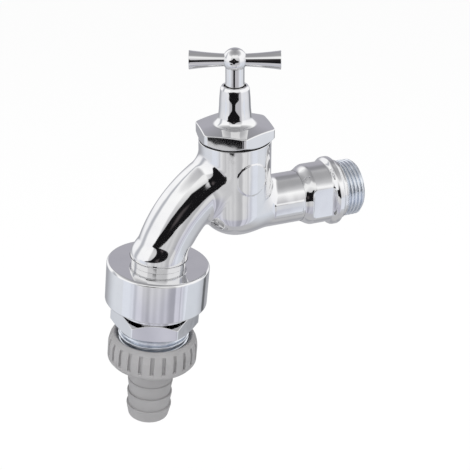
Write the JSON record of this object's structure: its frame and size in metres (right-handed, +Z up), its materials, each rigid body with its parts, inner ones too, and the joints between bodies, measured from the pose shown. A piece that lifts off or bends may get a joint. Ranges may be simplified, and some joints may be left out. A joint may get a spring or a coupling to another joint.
{
  "type": "drain valve",
  "caption": "Wall-mounted drain valve with a T-shaped toggle handle, bent spout, round backflow housing and a grey union nut with a barbed hose tail.",
  "frame": {"origin": "centre of the inlet's sealing face, where its thread starts", "axes": "+X along the inlet into the wall, +Z up along the spindle, -X towards the spout"},
  "size_m": [0.1241, 0.0472, 0.1794],
  "materials": {
    "chrome_plate": "polished chromium plate on brass",
    "black_rubber": "matte",
    "brass": "turned",
    "spring_steel": "drawn",
    "white_plastic": "moulded",
    "grey_plastic": "moulded"
  },
  "bodies": {
    "body": {"valve_body": "chrome_plate", "bonnet": "chrome_plate", "bonnet_gasket": "black_rubber", "breaker_housing": "chrome_plate", "breaker_nipple": "chrome_plate", "spout_gasket": "black_rubber", "nipple_gasket": "black_rubber", "check_cartridge": "white_plastic", "check_retainer": "white_plastic", "check_spring": "spring_steel"},
    "valve_head": {"valve_plate": "brass", "valve_washer": "black_rubber", "washer_screw": "brass"},
    "handle": {"spindle": "brass", "spindle_o_ring_lower": "black_rubber", "spindle_o_ring_upper": "black_rubber", "handle_hub": "chrome_plate", "handle_arm_left": "chrome_plate", "handle_arm_right": "chrome_plate", "handle_set_screw": "spring_steel"},
    "poppet": {"check_poppet": "white_plastic", "poppet_seal": "black_rubber"},
    "air_valve": {"air_valve_ring": "black_rubber"},
    "union": {"union_gasket": "black_rubber"},
    "nut": {"union_nut": "grey_plastic"},
    "tail": {"hose_tail": "grey_plastic"}
  },
  "joints": [
    {"name": "valve_lift", "type": "slide", "parent": "body", "child": "valve_head", "axis": [0, 0, 1], "range_m": [0, 0.006]},
    {"name": "handle_turn", "type": "hinge", "parent": "valve_head", "child": "handle", "pos_m": [-0.0514, 0, 0.0696], "axis": [0, 0, 1], "range_deg": [0, 1080]},
    {"name": "union_travel", "type": "slide", "parent": "body", "child": "union", "axis": [-0.0993, 0, -0.9951], "range_m": [0, 0.0058]},
    {"name": "union_turn", "type": "hinge", "parent": "union", "child": "nut", "pos_m": [-0.09327, 0, -0.06538], "axis": [-0.0993, 0, -0.9951], "range_deg": [0, 900]},
    {"name": "tail_swivel", "type": "hinge", "parent": "union", "child": "tail", "pos_m": [-0.09526, 0, -0.08528], "axis": [-0.0993, 0, -0.9951], "continuous": true},
    {"name": "check_opening", "type": "slide", "parent": "body", "child": "poppet", "axis": [-0.0993, 0, -0.9951], "range_m": [0, 0.004], "stiffness_N_per_m": 120, "springref_m": -0.003, "deforming": ["check_spring"]},
    {"name": "air_valve_rise", "type": "slide", "parent": "body", "child": "air_valve", "axis": [0.0993, 0, 0.9951], "range_m": [0, 0.003]}
  ],
  "couplings": [
    {"joint": "handle_turn", "follows": "valve_lift", "rad_per_m": 3141.6},
    {"joint": "union_travel", "follows": "union_turn", "m_per_rad": 0.00036749}
  ]
}
